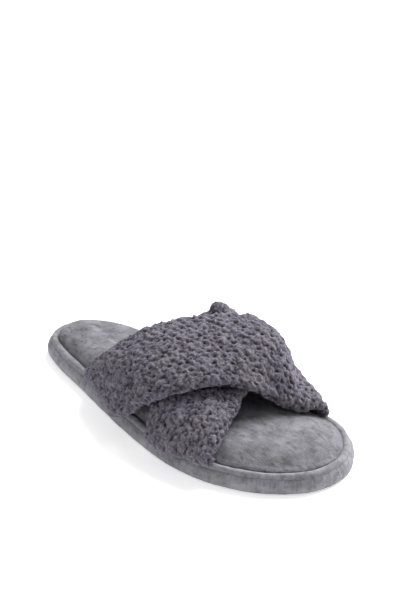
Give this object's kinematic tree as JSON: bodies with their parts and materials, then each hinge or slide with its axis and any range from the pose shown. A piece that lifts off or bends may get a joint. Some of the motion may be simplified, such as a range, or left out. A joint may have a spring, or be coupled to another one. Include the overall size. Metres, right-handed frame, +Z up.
{
  "type": "spa slipper",
  "caption": "Open-toe spa slipper for the right foot: padded footbed with a piped fabric edge and crossed waffle-knit straps sewn into the edge seam",
  "frame": {"origin": "centre of the bounding box on the floor plane under the outsole", "axes": "+Z up, toe towards -Y and heel towards +Y, the wearer's right side towards -X and big toe side towards +X"},
  "size_m": [0.1089, 0.2605, 0.067],
  "materials": {
    "outsole_rubber": "moulded matte rubber with curved ribs",
    "midsole_foam": "closed-cell foam sheet",
    "board": "pressed fibre board",
    "comfort_foam": "soft open-cell foam",
    "footbed_jersey": "brushed heather-grey jersey",
    "edge_jersey": "brushed heather-grey jersey",
    "piping_jersey": "brushed heather-grey jersey over a cord",
    "cord": "plain cotton cord",
    "thread": "polyester thread",
    "strap_knit": "plush waffle knit, purple-grey",
    "strap_padding": "polyester wadding",
    "strap_lining": "brushed tricot"
  },
  "bodies": {
    "root": {"outsole": "outsole_rubber", "midsole": "midsole_foam", "insole_board": "board", "footbed_foam": "comfort_foam", "footbed_cover": "footbed_jersey", "edge_wrap": "edge_jersey", "piping_cover": "piping_jersey", "piping_cord": "cord", "seam_stitches": "thread", "top_strap_knit": "strap_knit", "top_strap_padding": "strap_padding", "top_strap_lining": "strap_lining", "under_strap_knit": "strap_knit", "under_strap_padding": "strap_padding", "under_strap_lining": "strap_lining"}
  },
  "joints": []
}
